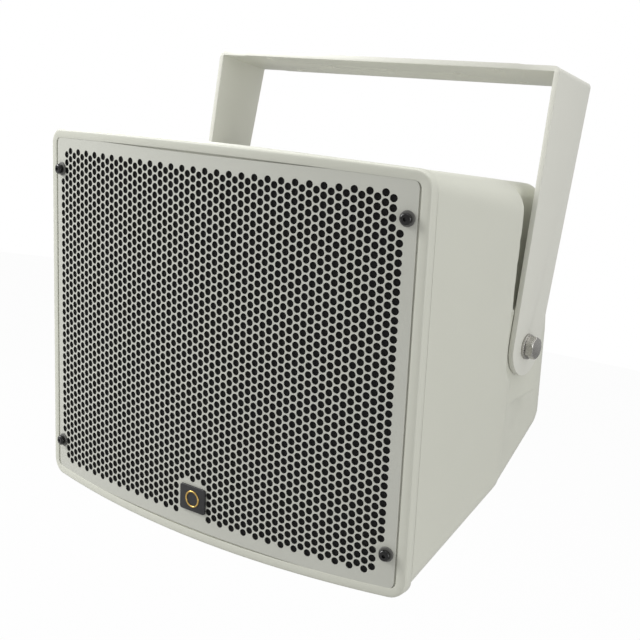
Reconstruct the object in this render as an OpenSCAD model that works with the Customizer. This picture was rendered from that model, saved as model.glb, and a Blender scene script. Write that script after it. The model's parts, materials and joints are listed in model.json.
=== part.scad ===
// Horn loudspeaker: a weatherproof moulded cabinet with a bowed front behind a perforated
// grille, held by a U-shaped steel bracket. The cabinet tips on the bracket's two pivot bolts.
// The origin is the middle of the bracket's mounting face. The front faces -Y and +Z is up.

/* [Cabinet] */
// Width across the front rim
cab_w = 355; // [350:1:360]
// Height of the front rim
cab_h = 300; // [295:1:305]
// Radius of the bowed front, seen from above
bow_r = 865; // [860:5:1200]
// Distance from the front of the bow to the back wall
cab_d = 335; // [330:1:340]
// Distance from the front of the bow to the pivot axis
pivot_back = 198; // [196:1:200]
// Height of the front's centre above the pivot axis
front_rise = 3; // [2:0.5:4]
// Wall thickness of the moulded shell
wall = 5; // [4.5:0.5:5.5]
// Fall of the top, in millimetres per millimetre of depth
top_fall = 0.112; // [0.1:0.002:0.12]
// Rise of the underside, in millimetres per millimetre of depth
bottom_rise = 0.19; // [0.18:0.002:0.2]
// Radius of the round shoulders of the back
back_r = 67; // [64:1:68]

/* [Grille] */
// Thickness of the perforated sheet
sheet_t = 1; // [0.8:0.1:2]
// Distance between the holes of one column
hole_pitch = 12.7; // [12.7:0.1:14]
// Diameter of a hole
hole_d = 9.5; // [8:0.1:10]

/* [Bracket] */
// Thickness of the steel strip
strip_t = 4; // [3:0.5:5]
// Distance from the mounting face down to the pivot axis
pivot_drop = 212; // [210:1:220]
// Distance between the inner faces of the arms
arm_gap = 326; // [326:0.2:327]
// Width of an arm at its round end
arm_w = 46; // [44:1:48]
// Width of an arm at the bend
arm_top_w = 62; // [54:1:64]
// Width of the middle of the bar
bar_w = 66; // [64:1:68]
// Angle that the cabinet tips forward from square to the bracket
tilt = 12; // [0:1:12]

/* [Bracket holes] */
// Diameter of the mounting holes
mount_hole_d = 8; // [7:0.5:8.5]
// Spacing of the corner holes along the bar
corner_x = 226; // [220:1:230]
// Spacing of the corner holes across the bar
corner_y = 46.4; // [44:0.2:47]
// Spacing of the holes on the centre line
line_x = 64; // [60:1:66]

/* [Input compartment] */
// Width of the recess in the back
bay_w = 68; // [66:1:70]
// Height of the recess in the back
bay_h = 86; // [84:1:88]
// Depth of the recess
bay_d = 26.5; // [26:0.5:28]
// Pitch of the terminal strip
pole_pitch = 9.5; // [9:0.1:10]

/* [Hidden] */

paint = [0.78, 0.78, 0.73];
steel_paint = [0.80, 0.80, 0.77];
black = [0.06, 0.06, 0.06];
stainless = [0.70, 0.70, 0.70];
brass = [0.78, 0.64, 0.34];
zinc = [0.75, 0.75, 0.76];

gap = 0.2;
hw = cab_w / 2;
hh = cab_h / 2;
front_y = -pivot_back;
back_y = cab_d - pivot_back;
bow_y = front_y + bow_r;
rim_set = bow_r - sqrt(bow_r * bow_r - hw * hw);
arc_r = 286;
step_y = -26.5;
pad_x = 162.2;
flank_x = 165;
notch_x = 148;
ledge_z = 34;
block_back = 40;
round_end = arm_w / 2;

rim_w = 7;
rim_r = 12;
grille_off = 0.4;
foam_off = grille_off + sheet_t + gap;
baffle_off = foam_off + 4 + gap;
baffle_t = 6;
gasket_t = 1.6;
ledge_off = baffle_off + baffle_t + gasket_t;
sheet_w = cab_w - 2 * rim_w - 1.2;
sheet_h = cab_h - 2 * rim_w - 1.2;
screw_x = 162.5;
screw_z = 115;
col_pitch = hole_pitch * sqrt(3) / 2;
field_cols = 14;
field_rows = 10;

throat_y = -92;
throat_r = 88;
flange_r = 104;
screw_ring = 99.5;
plate_y = -26;
magnet_y = plate_y + 8;
yoke_y = magnet_y + 22;
driver_y = yoke_y + 8;
pole_r = 23.2;
coil_r = 24.6;
throat_bore = 13;
driver_ring = 34;

board_z = -92;
board_x0 = 22;
board_y0 = -18;
trafo_z = -86;
trafo_x = -74;
trafo_y = 45;

bay_z = 1;
bay_floor = back_y - bay_d;
lip_w = bay_w + 10;
lip_h = bay_h + 7;
boss_x = 31;
boss_pitch = 36;
strip_z = 27;
strip_half = 20;
panel_t = 2.5;
panel_y = bay_floor + panel_t;
knob_h = 14.5;
knob_x = 0;
knob_z = -19;
eye_z = -70;
eye_floor = back_y - 11;

arm_in = arm_gap / 2;
arm_out = arm_in + strip_t;
bolt_r = 5;
insert_r = 8;
insert_l = 26;
bend_r = strip_t + 0.5;

function top_z(y) = front_rise + hh - top_fall * (y - front_y);
function bottom_z(y) = front_rise - hh + bottom_rise * (y - front_y);

// Places the cabinet and all that it carries on the pivot axis, tipped forward
module on_pivot() {
    translate([0, 0, -pivot_drop]) rotate([tilt, 0, 0]) children();
}

// A rectangle with round corners, seen from the front
module round_rect(w, h, r) {
    square([w - 2 * r, h], center = true);
    square([w, h - 2 * r], center = true);
    for (x = [-1, 1], z = [-1, 1])
        translate([x * (w / 2 - r), z * (h / 2 - r)]) circle(r, $fn = 32);
}

// The rim's outline: round corners, with a slight crown along the top and the bottom
module rim_outline(w, h, r) {
    crown_r = 4000;
    intersection() {
        round_rect(w, h, r);
        translate([0, h / 2 - crown_r]) circle(crown_r, $fn = 720);
        translate([0, crown_r - h / 2]) circle(crown_r, $fn = 720);
    }
}

// Stands a flat outline up in the XZ plane, from y towards the back
module standing(y, t) {
    translate([0, y + t, front_rise]) rotate([90, 0, 0]) linear_extrude(t) children();
}

// The bowed layer between two depths behind the front surface, cut to the outline
module bowed(off, t) {
    intersection() {
        standing(front_y, 60) children();
        translate([0, bow_y, -cab_h]) difference() {
            cylinder(h = 2 * cab_h, r = bow_r - off, $fn = 720);
            translate([0, 0, -1]) cylinder(h = 2 * cab_h + 2, r = bow_r - off - t, $fn = 720);
        }
    }
}

// A slab across the cabinet between two heights
module slab(y, half_w, z0, z1, r) {
    translate([0, y + 1, (z0 + z1) / 2]) rotate([90, 0, 0])
        linear_extrude(1) round_rect(2 * half_w, z1 - z0, r);
}

// The tapered front of the cabinet, back to a slab behind the arms' edge
module front_block(in_front, in_back, y) {
    hull() {
        standing(front_y, rim_set)
            rim_outline(cab_w - 2.4 - 2 * in_front, cab_h - 2.4 - 2 * in_front, rim_r);
        slab(y, flank_x - in_back, bottom_z(y) + in_back, top_z(y) - in_back, 26);
    }
}

// What the notches for the arms take out of the flanks: an edge that leans back, over a sloping ledge
module arm_notches() {
    lean = 0.107;
    for (s = [-1, 1])
        translate([s > 0 ? notch_x : -notch_x - 40, 0, 0]) rotate([90, 0, 90]) linear_extrude(40)
            polygon([
                [step_y, ledge_z], [step_y + lean * (170 - ledge_z), 170], [60, 170],
                [60, ledge_z - 18], [32, ledge_z - 18]
            ]);
}

// One upright post of the shoulder behind the front block
module shoulder_post(r, h, e) {
    rotate_extrude($fn = 48) union() {
        polygon([[0, 0], [r + 10, 0], [r, h - e], [r - e, h - e], [0, h - e]]);
        translate([0, h - e - 1]) square([r - e, e + 1]);
        translate([r - e, h - e]) circle(e, $fn = 32);
    }
}

// The shoulder: the top runs on behind the step, narrower, so that the arms swing past it
module shoulder(in) {
    r = 45;
    h = 125;
    hull() {
        slab(-70, notch_x - in, 0, top_z(-70) - in - 0.5, 14);
        for (x = [-1, 1])
            translate([x * (notch_x - r), block_back - r, top_z(block_back - r) - h - in])
                rotate([-atan(top_fall), 0, 0]) shoulder_post(r - in, h, 12);
    }
}

// Balls along the lower back edge, on the plan's round corners
module back_edge(in) {
    r = 18;
    for (s = [-1, 1], a = [5, 28, 50, 72])
        translate([
            s * (82 + (70 - r) * cos(a)),
            56 + (70 - r) * sin(a),
            bottom_z(56 + (70 - r) * sin(a)) + r * 1.02
        ]) sphere(r - in, $fn = 24);
    translate([0, back_y - r, bottom_z(back_y - r) + r * 1.02]) sphere(r - in, $fn = 24);
}

// The barrel-shaped back
module bulb(in) {
    hull() {
        slab(-60, 155 - in, bottom_z(-60) + 2 + in, 100 - in, 40);
        for (x = [-1, 1])
            translate([x * 84, 56, 41]) sphere(back_r - in, $fn = 48);
        for (x = [-1, 1])
            translate([x * 83, 56, -5]) sphere(back_r + 3 - in, $fn = 48);
        for (x = [-42, 0, 42])
            translate([x, back_y - back_r - arc_r + sqrt(arc_r * arc_r - x * x), 38])
                sphere(back_r - in, $fn = 48);
        back_edge(in);
    }
}

// Below the arms the flank runs smoothly from the front block into the back
module lower_flank() {
    hull() {
        slab(step_y - 1, flank_x, bottom_z(step_y), -38, 14);
        for (x = [-1, 1])
            translate([x * 82, 56, -29]) sphere(back_r + 2, $fn = 48);
        back_edge(0);
    }
}

// The pads that the arms bear on, with a sloping ledge on top
module pads() {
    for (s = [-1, 1])
        translate([s > 0 ? 140 : -pad_x, 0, 0]) rotate([90, 0, 90])
            linear_extrude(pad_x - 140)
                polygon([[-60, -44], [32, -44], [32, ledge_z - 18], [step_y, ledge_z], [-60, ledge_z]]);
}

// The clearance that an arm's round end needs in the flank
module arm_pocket() {
    for (s = [-1, 1]) {
        translate([s > 0 ? pad_x : -pad_x - 20, 0, 0]) rotate([0, 90, 0])
            cylinder(h = 20, r = -step_y, $fn = 64);
        translate([s > 0 ? pad_x : -pad_x - 20, step_y, 0]) cube([20, 80, 60]);
        translate([s > 0 ? pad_x : -pad_x - 20, 0, step_y]) cube([20, 80, 60]);
    }
}

module screw_boss(x, z, y0, y1, r) {
    translate([x, y1, z]) rotate([90, 0, 0]) cylinder(h = y1 - y0, r = r, $fn = 32);
}

// The round pocket with two wings that the safety eye sits in
module eye_pocket() {
    translate([0, eye_floor, eye_z]) rotate([-90, 0, 0]) cylinder(h = 40, r = 16, $fn = 48);
    translate([-28, back_y - 7, eye_z - 1]) cube([56, 40, 8]);
}

module bay_walls() {
    translate([-bay_w / 2 - 4, bay_floor - 4, bay_z - bay_h / 2 - 4])
        cube([bay_w + 8, bay_d - 4, bay_h + 8]);
}

module bay_space() {
    translate([-bay_w / 2, bay_floor, bay_z - bay_h / 2]) cube([bay_w, 60, bay_h]);
    translate([-lip_w / 2, back_y - 4, bay_z - lip_h / 2]) cube([lip_w, 60, lip_h]);
    translate([knob_x, bay_floor + 1, knob_z]) rotate([90, 0, 0]) cylinder(h = 10, r = 17, $fn = 48);
    translate([-strip_half, bay_floor - 8, strip_z - 6]) cube([2 * strip_half, 10, 12]);
}

module bay_bosses() {
    for (x = [-1, 1], k = [-1, 0, 1])
        screw_boss(x * boss_x, bay_z + k * boss_pitch, bay_floor - 2, back_y - 5, 4.2);
}

module board_points() {
    for (x = [8, 98], y = [8, 58])
        translate([board_x0 + x, board_y0 + y, 0]) children();
}

module trafo_points() {
    for (x = [-24, 24], y = [-26, 26])
        translate([trafo_x + x, trafo_y + y, 0]) children();
}

// A pillar from inside the bottom wall up to a height
module pillar(x, y, top) {
    foot = bottom_z(y) + wall / 2;
    translate([x, y, foot]) cylinder(h = top - foot, r = 5, $fn = 32);
}

// Pillars that the inner pieces stand on
module inner_pillars() {
    for (x = [8, 98], y = [8, 58]) pillar(board_x0 + x, board_y0 + y, board_z);
    for (x = [-24, 24], y = [-26, 26]) pillar(trafo_x + x, trafo_y + y, trafo_z);
}

module pivot_bosses() {
    for (s = [-1, 1])
        translate([s > 0 ? pad_x - 30 : -pad_x, 0, 0]) rotate([0, 90, 0])
            cylinder(h = 30, r = 14, $fn = 48);
}

// Moves to each front screw, with -Y pointing out of the bow
module at_grille_screws() {
    for (x = [-1, 1], z = [-1, 1])
        translate([0, bow_y, front_rise + z * screw_z])
            rotate([0, 0, x * asin(screw_x / bow_r)])
                translate([0, -bow_r, 0]) children();
}

// A rod along Y
module rod(y0, y1, r, facets = 32) {
    translate([0, y0, 0]) rotate([-90, 0, 0]) cylinder(h = y1 - y0, r = r, $fn = facets);
}

// Turns a profile of radius and depth about the drivers' common axis
module turned(facets = 96) {
    translate([0, 0, front_rise]) rotate([-90, 0, 0]) rotate_extrude($fn = facets) children();
}

// The sheet's outline, which the layers behind it share
module field(inset) {
    round_rect(sheet_w - 2 * inset, sheet_h - 2 * inset, 7.5 - inset / 2);
}

module outer_body() {
    intersection() {
        union() {
            difference() {
                front_block(0, 0, -16);
                arm_notches();
            }
            bowed(0, 12) rim_outline(cab_w, cab_h, rim_r);
        }
        translate([0, bow_y, -cab_h]) cylinder(h = 2 * cab_h, r = bow_r, $fn = 720);
    }
    shoulder(0);
    bulb(0);
    lower_flank();
    pads();
}

module inner_space() {
    front_block(14, wall, step_y - wall);
    shoulder(wall);
    bulb(wall);
}

module enclosure() {
    color(paint) on_pivot() difference() {
        union() {
            difference() {
                outer_body();
                inner_space();
            }
            bay_walls();
            inner_pillars();
            pivot_bosses();
            screw_boss(0, eye_z, eye_floor - 24, eye_floor, 12);
            screw_boss(0, eye_z, eye_floor - 4, back_y - 6, 20);
            at_grille_screws() rod(8, 42, 8);
        }
        difference() {
            standing(front_y - 1, 60) field(-0.5);
            translate([0, bow_y, -cab_h])
                cylinder(h = 2 * cab_h, r = bow_r - ledge_off, $fn = 720);
        }
        at_grille_screws() rod(0, 36, 2);
        arm_pocket();
        difference() {
            bay_space();
            bay_bosses();
        }
        for (x = [-1, 1], k = [-1, 0, 1])
            screw_boss(x * boss_x, bay_z + k * boss_pitch, back_y - 17, back_y, 1.5);
        for (x = [-1, 1])
            screw_boss(x * (strip_half + 3.5), strip_z, bay_floor - 3, bay_floor + 1, 1.5);
        eye_pocket();
        screw_boss(0, eye_z, eye_floor - 20, eye_floor + 1, 6.5);
        for (s = [-1, 1])
            translate([s > 0 ? pad_x - insert_l : -pad_x - 1, 0, 0]) rotate([0, 90, 0])
                cylinder(h = insert_l + 1, r = insert_r, $fn = 48);
        board_points() translate([0, 0, board_z - 8]) cylinder(h = 9, r = 1.5, $fn = 24);
        trafo_points() translate([0, 0, trafo_z - 8]) cylinder(h = 9, r = 1.5, $fn = 24);
    }
}

module baffle_gasket() {
    color(black) on_pivot() difference() {
        bowed(baffle_off + baffle_t, gasket_t) field(0.5);
        standing(front_y - 1, 60) field(9);
        at_grille_screws() rod(0, 40, 2.6);
    }
}

// The baffle: a bowed plate that runs into a rectangular horn with a round throat
module horn_baffle() {
    mouth_w = 318;
    mouth_h = 258;
    color(black) on_pivot() difference() {
        union() {
            difference() {
                union() {
                    bowed(baffle_off, baffle_t) field(0.5);
                    intersection() {
                        hull() {
                            standing(front_y, 1) round_rect(mouth_w, mouth_h, 30);
                            translate([0, 0, front_rise]) rod(throat_y - 9, throat_y - 8, throat_r + 5, 96);
                        }
                        translate([0, bow_y, -cab_h])
                            cylinder(h = 2 * cab_h, r = bow_r - baffle_off, $fn = 720);
                    }
                }
                hull() {
                    standing(front_y - 2, 1) round_rect(mouth_w - 10, mouth_h - 10, 26);
                    translate([0, 0, front_rise]) rod(throat_y - 9, throat_y - 8, throat_r, 96);
                }
            }
            translate([0, 0, front_rise]) rod(throat_y - 9, throat_y, flange_r, 96);
            at_grille_screws() rod(foam_off - gap, baffle_off + 1, 7);
        }
        translate([0, 0, front_rise]) rod(throat_y - 10, throat_y + 1, throat_r, 96);
        at_grille_screws() rod(-1, 40, 2.6);
        at_woofer_screws() rod(-9.5, 1, 2);
    }
}

module grille_foam() {
    color(black) on_pivot() difference() {
        bowed(foam_off, 4) field(4);
        at_grille_screws() rod(-1, 40, 8);
    }
}

// One column of holes in the front sheet
module hole_column(i) {
    odd = abs(i) % 2;
    for (j = [-field_rows : 1 : field_rows - odd]) {
        x = i * col_pitch;
        z = (j + odd / 2) * hole_pitch;
        if (!(abs(x) < 17 && z < -100) && !(abs(x) > 150 && abs(z) > 98))
            translate([x, front_y - 1, front_rise + z]) rod(0, 30, hole_d / 2, 24);
    }
}

module grille() {
    color(paint) on_pivot() difference() {
        bowed(grille_off, sheet_t) field(0);
        for (i = [-field_cols : 1 : field_cols]) hole_column(i);
        at_grille_screws() rod(-1, 12, 2.6);
    }
}

module grille_screws() {
    color(black) on_pivot() at_grille_screws() {
        rod(grille_off - 0.6, grille_off, 4.5);
        translate([0, grille_off - 0.6, 0]) rotate([90, 0, 0]) rotate_extrude($fn = 32)
            polygon([[1.6, 0], [3.7, 0], [3.7, 2.4], [2.8, 3.4], [1.6, 3.6]]);
        rod(grille_off - 1.6, 34, 2);
    }
}

module badge() {
    color(black) on_pivot()
        translate([0, front_y + grille_off, front_rise - 117]) rotate([90, 0, 0])
            linear_extrude(1.6) round_rect(25, 20, 2.5);
}

// Moves to each screw of the woofer's flange, at the throat
module at_woofer_screws() {
    for (a = [45 : 90 : 315])
        translate([screw_ring * cos(a), throat_y, front_rise + screw_ring * sin(a)]) children();
}

module woofer_frame() {
    y1 = throat_y + 5;
    color(black) on_pivot() difference() {
        turned() polygon([
            [91, throat_y], [flange_r, throat_y], [flange_r, y1], [95, y1],
            [64, plate_y - 4], [56, plate_y], [28, plate_y], [28, plate_y - 4],
            [56, plate_y - 4], [56, plate_y - 9], [60, plate_y - 9], [91, y1 - 1]
        ]);
        for (a = [0 : 60 : 300])
            translate([0, 0, front_rise]) rotate([0, a, 0])
                translate([50, plate_y - 42, -19]) cube([60, 26, 38]);
        at_woofer_screws() rod(-1, 8, 2.4);
    }
}

module woofer_top_plate() {
    color(zinc) on_pivot()
        turned() translate([pole_r + 3, plate_y]) square([54 - pole_r - 3, 8]);
}

module woofer_magnet() {
    color([0.20, 0.20, 0.21]) on_pivot()
        turned() translate([32, magnet_y]) square([26, 22]);
}

module woofer_yoke() {
    color(zinc) on_pivot() difference() {
        turned() polygon([
            [throat_bore, plate_y], [pole_r, plate_y], [pole_r, yoke_y], [54, yoke_y],
            [54, driver_y - 2], [52, driver_y], [throat_bore, driver_y]
        ]);
        at_driver_screws() rod(-7, 1, 2.5);
    }
}

module woofer_spider() {
    y = plate_y - 9;
    color([0.72, 0.58, 0.30]) on_pivot()
        turned() translate([coil_r + 0.8, y - 1]) square([34, 1]);
}

module woofer_surround() {
    color(black) on_pivot() turned() union() {
        translate([90, throat_y]) square([1, 1]);
        difference() {
            translate([85.3, throat_y + 1]) circle(5.7, $fn = 32);
            translate([85.3, throat_y + 1]) circle(4.7, $fn = 32);
            translate([70, throat_y - 19]) square([30, 20]);
        }
    }
}

module woofer_cone() {
    y0 = throat_y + 2;
    y1 = plate_y - 14;
    color([0.16, 0.16, 0.17]) on_pivot() turned() union() {
        polygon([[79, y0], [79, y0 + 1.5], [coil_r, y1 + 1.5], [coil_r - 0.8, y1]]);
        translate([coil_r - 0.8, y1]) square([0.8, 26]);
    }
}

module woofer_screws() {
    color(zinc) on_pivot() at_woofer_screws() {
        rod(-8.5, 5.5, 2);
        rod(5, 8, 3.8);
    }
}

// The small horn that carries the treble out through the middle of the woofer
module hf_horn() {
    y0 = plate_y;
    color(black) on_pivot() turned() polygon([
        [10, y0 + 12], [throat_bore, y0 + 12], [throat_bore, y0], [17, y0], [17, y0 - 3],
        [14, y0 - 4], [18, y0 - 30], [28, y0 - 55], [46, y0 - 78], [44, y0 - 79],
        [26, y0 - 56], [16, y0 - 31], [12, y0 - 8]
    ]);
}

module at_driver_screws() {
    for (a = [30, 150, 270])
        translate([driver_ring * cos(a), driver_y, front_rise + driver_ring * sin(a)]) children();
}

module compression_driver() {
    y = driver_y;
    color([0.22, 0.22, 0.23]) on_pivot() difference() {
        turned() polygon([
            [throat_bore, y], [42, y], [42, y + 5], [37, y + 8], [37, y + 34],
            [30, y + 40], [0, y + 40], [0, y + 16], [throat_bore, y + 10]
        ]);
        at_driver_screws() rod(-1, 60, 2.6);
        at_driver_screws() rod(5, 60, 5);
    }
}

module driver_screws() {
    color(zinc) on_pivot() at_driver_screws() {
        rod(-6.5, 5.5, 2.5);
        rod(5, 9, 4.2);
    }
}

module crossover_board() {
    color([0.16, 0.30, 0.20]) on_pivot() difference() {
        translate([board_x0, board_y0, board_z]) cube([106, 66, 1.6]);
        board_points() translate([0, 0, board_z - 1]) cylinder(h = 4, r = 1.8, $fn = 24);
    }
}

module crossover_coils() {
    z = board_z + 1.6;
    color([0.72, 0.40, 0.22]) on_pivot() {
        for (x = [30, 66])
            translate([board_x0 + x, board_y0 + 18, z]) difference() {
                cylinder(h = 16, r = 14, $fn = 48);
                translate([0, 0, -1]) cylinder(h = 18, r = 6, $fn = 32);
            }
    }
}

module crossover_capacitors() {
    z = board_z + 1.6;
    color([0.20, 0.26, 0.42]) on_pivot() {
        for (x = [24, 42, 60])
            translate([board_x0 + x, board_y0 + 46, z]) cylinder(h = 22, r = 7, $fn = 32);
        translate([board_x0 + 74, board_y0 + 38, z]) cube([12, 14, 10]);
    }
}

module line_transformer() {
    z = trafo_z + 2;
    color(zinc) on_pivot() difference() {
        union() {
            translate([trafo_x - 30, trafo_y - 32, trafo_z]) cube([60, 64, 2]);
            translate([trafo_x - 27, trafo_y - 18, z]) cube([54, 36, 44]);
        }
        for (s = [-1, 1])
            translate([trafo_x + s * 13.5 - 4.5, trafo_y - 40, z + 9]) cube([9, 80, 26]);
        trafo_points() translate([0, 0, trafo_z - 1]) cylinder(h = 4, r = 1.8, $fn = 24);
    }
}

module transformer_coil() {
    z = trafo_z + 11;
    color([0.80, 0.66, 0.30]) on_pivot() difference() {
        translate([trafo_x - 18, trafo_y - 26, z]) cube([36, 52, 26]);
        translate([trafo_x - 9, trafo_y - 18, z - 1]) cube([18, 36, 28]);
    }
}

module chassis_screws() {
    color(zinc) on_pivot() {
        board_points() {
            translate([0, 0, board_z - 6]) cylinder(h = 8, r = 1.5, $fn = 24);
            translate([0, 0, board_z + 1.6]) cylinder(h = 2, r = 3, $fn = 24);
        }
        trafo_points() {
            translate([0, 0, trafo_z - 6]) cylinder(h = 8.4, r = 1.5, $fn = 24);
            translate([0, 0, trafo_z + 2]) cylinder(h = 2, r = 3, $fn = 24);
        }
    }
}

module input_panel() {
    color(black) on_pivot() difference() {
        translate([-26.5, bay_floor, -41.5]) cube([53, panel_t, 78]);
        translate([knob_x, 0, knob_z]) rod(bay_floor - 1, panel_y + 1, 4);
        translate([-strip_half + 1, bay_floor - 1, strip_z - 5]) cube([2 * strip_half - 2, 5, 10]);
        for (x = [-1, 1])
            translate([x * (strip_half + 3.5), 0, strip_z]) rod(bay_floor - 1, panel_y + 1, 1.8);
    }
}

// The four-pole screw terminal strip
module terminal_strip() {
    color([0.10, 0.10, 0.10]) on_pivot() difference() {
        union() {
            translate([-strip_half, panel_y, strip_z - 8]) cube([2 * strip_half, 11, 16]);
            translate([-strip_half - 6, panel_y, strip_z - 4]) cube([2 * strip_half + 12, 3, 8]);
            translate([-strip_half + 1, bay_floor - 4, strip_z - 5])
                cube([2 * strip_half - 2, panel_t + 5, 10]);
            for (k = [-2 : 1 : 2])
                translate([k * pole_pitch - 0.8, panel_y, strip_z - 8]) cube([1.6, 13.5, 16]);
        }
        for (k = [-1.5 : 1 : 1.5]) {
            translate([k * pole_pitch, 0, strip_z + 2]) rod(panel_y + 4, panel_y + 14, 2);
            translate([k * pole_pitch - 2, panel_y + 3, strip_z - 9]) cube([4, 5, 8]);
        }
        for (x = [-1, 1])
            translate([x * (strip_half + 3.5), 0, strip_z]) rod(panel_y - 1, panel_y + 4, 1.8);
    }
}

module terminal_screws() {
    color(stainless) on_pivot()
        for (k = [-1.5 : 1 : 1.5])
            translate([k * pole_pitch, 0, strip_z + 2]) difference() {
                union() {
                    rod(panel_y + 4, panel_y + 12, 2);
                    rod(panel_y + 11, panel_y + 13.5, 3.3);
                }
                translate([-4, panel_y + 12.6, -0.4]) cube([8, 2, 0.8]);
            }
}

module strip_screws() {
    color(zinc) on_pivot()
        for (x = [-1, 1])
            translate([x * (strip_half + 3.5), 0, strip_z]) {
                rod(bay_floor - 2.5, panel_y + 3.5, 1.5);
                rod(panel_y + 3, panel_y + 4.6, 2.6);
            }
}

module tap_switch() {
    color([0.55, 0.55, 0.52]) on_pivot() translate([knob_x, 0, knob_z]) {
        rod(bay_floor - 18, bay_floor, 15, 48);
        rod(bay_floor - 1, panel_y, 4);
        rod(panel_y - 1, panel_y + 12, 3);
    }
}

module tap_knob() {
    color([0.80, 0.79, 0.74]) on_pivot() translate([knob_x, 0, knob_z]) difference() {
        translate([0, panel_y + 0.3, 0]) rotate([-90, 0, 0]) rotate_extrude($fn = 64)
            polygon([[3.05, 0], [10, 0], [9.6, knob_h - 1], [8.6, knob_h], [0, knob_h],
                [0, knob_h - 2], [3.05, knob_h - 2]]);
        for (a = [0 : 30 : 330])
            rotate([0, a, 0]) translate([10.6, 0, 0]) rod(panel_y + 2, panel_y + 16, 1.1, 16);
        translate([-0.6, panel_y + knob_h - 0.4, 2]) cube([1.2, 2, 9]);
    }
}

// A thin blank plate that follows the curve of the back
module label_plate() {
    color([0.86, 0.86, 0.83]) on_pivot() intersection() {
        difference() {
            bulb(-0.35);
            bulb(0);
        }
        translate([-19, back_y - 40, 55]) cube([34.5, 60, 12]);
    }
}

module eye_bolt() {
    ring_r = 13.2;
    wire_r = 4;
    color(stainless) on_pivot() translate([0, 0, eye_z]) {
        rod(eye_floor - 18, eye_floor + 3, 4, 48);
        rod(eye_floor, eye_floor + 1.6, 11.5, 48);
        rod(eye_floor + 1.6, eye_floor + 5, 8, 48);
        translate([0, eye_floor + 4 + ring_r + wire_r / 2, 0]) rotate([0, 45, 0])
            rotate_extrude($fn = 64) translate([ring_r, 0]) circle(wire_r, $fn = 32);
    }
}

module eye_insert() {
    color(brass) on_pivot() translate([0, 0, eye_z]) difference() {
        rod(eye_floor - 20, eye_floor, 6.5, 48);
        rod(eye_floor - 21, eye_floor + 1, 4, 48);
    }
}

module both_sides() {
    for (s = [0, 180])
        translate([0, 0, 0]) rotate([0, 0, s]) children();
}

// A ring about the pivot axis
module pivot_ring(x0, x1, r, bore) {
    translate([x0, 0, 0]) rotate([0, 90, 0]) difference() {
        cylinder(h = x1 - x0, r = r, $fn = 48);
        translate([0, 0, -1]) cylinder(h = x1 - x0 + 2, r = bore, $fn = 48);
    }
}

module pivot_inserts() {
    color(brass) on_pivot() both_sides() pivot_ring(pad_x - insert_l, pad_x, insert_r, bolt_r);
}

module pivot_spacers() {
    color(black) on_pivot() both_sides() pivot_ring(pad_x, arm_in - 0.05, 14, bolt_r + 0.3);
}

module pivot_washers() {
    color(stainless) on_pivot() both_sides()
        pivot_ring(arm_out + 0.05, arm_out + 2.05, 10, bolt_r + 0.3);
}

module pivot_bolts() {
    head_x = arm_out + 2.05;
    color(stainless) on_pivot() both_sides() translate([head_x, 0, 0]) rotate([0, 90, 0]) {
        translate([0, 0, -(head_x - pad_x) - 22])
            cylinder(h = head_x - pad_x + 22.5, r = bolt_r, $fn = 48);
        intersection() {
            cylinder(h = 6.4, r = 16 / sqrt(3), $fn = 6);
            cylinder(h = 6.4, r1 = 14.5, r2 = 8.1, $fn = 48);
        }
    }
}

// The strip bent into a U: arms down, mounting face up
module bracket() {
    color(steel_paint) difference() {
        intersection() {
            translate([0, 50, 0]) rotate([90, 0, 0]) linear_extrude(100) difference() {
                union() {
                    translate([-arm_out, -300]) square([2 * arm_out, 300 - bend_r]);
                    translate([-arm_out + bend_r, -50]) square([2 * (arm_out - bend_r), 50]);
                    for (x = [-1, 1])
                        translate([x * (arm_out - bend_r), -bend_r]) circle(bend_r, $fn = 48);
                }
                translate([-arm_in, -301]) square([2 * arm_in, 301 - bend_r]);
                translate([-arm_in + bend_r - strip_t, -60])
                    square([2 * (arm_in - bend_r + strip_t), 60 - strip_t]);
                for (x = [-1, 1])
                    translate([x * (arm_out - bend_r), -bend_r])
                        circle(bend_r - strip_t, $fn = 48);
            }
            union() {
                translate([0, 0, -bend_r - 1]) linear_extrude(bend_r + 2) polygon([
                    [-arm_out - 1, -arm_top_w / 2], [-138, -arm_top_w / 2], [-134, -bar_w / 2],
                    [134, -bar_w / 2], [138, -arm_top_w / 2], [arm_out + 1, -arm_top_w / 2],
                    [arm_out + 1, arm_top_w / 2], [138, arm_top_w / 2], [134, bar_w / 2],
                    [-134, bar_w / 2], [-138, arm_top_w / 2], [-arm_out - 1, arm_top_w / 2]
                ]);
                translate([-200, 0, 0]) rotate([90, 0, 90]) linear_extrude(400) union() {
                    polygon([
                        [-round_end, -pivot_drop], [round_end, -pivot_drop],
                        [arm_top_w / 2, -bend_r], [-arm_top_w / 2, -bend_r]
                    ]);
                    translate([0, -pivot_drop]) circle(round_end, $fn = 64);
                }
            }
        }
        for (x = [-1, 0, 1])
            translate([x * line_x, 0, -strip_t - 1])
                cylinder(h = strip_t + 2, r = mount_hole_d / 2, $fn = 48);
        for (x = [-1, 1], y = [-1, 1])
            translate([x * corner_x / 2, y * corner_y / 2, -strip_t - 1])
                cylinder(h = strip_t + 2, r = mount_hole_d / 2, $fn = 48);
        translate([-200, 0, -pivot_drop]) rotate([0, 90, 0])
            cylinder(h = 400, r = bolt_r + 0.05, $fn = 64);
    }
}

enclosure();
baffle_gasket();
horn_baffle();
grille_foam();
grille();
grille_screws();
badge();
woofer_frame();
woofer_top_plate();
woofer_magnet();
woofer_yoke();
woofer_spider();
woofer_surround();
woofer_cone();
woofer_screws();
hf_horn();
compression_driver();
driver_screws();
crossover_board();
crossover_coils();
crossover_capacitors();
line_transformer();
transformer_coil();
chassis_screws();
input_panel();
terminal_strip();
terminal_screws();
strip_screws();
tap_switch();
tap_knob();
label_plate();
eye_bolt();
eye_insert();
pivot_inserts();
pivot_spacers();
pivot_bolts();
pivot_washers();
bracket();
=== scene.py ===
import json
import math

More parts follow.
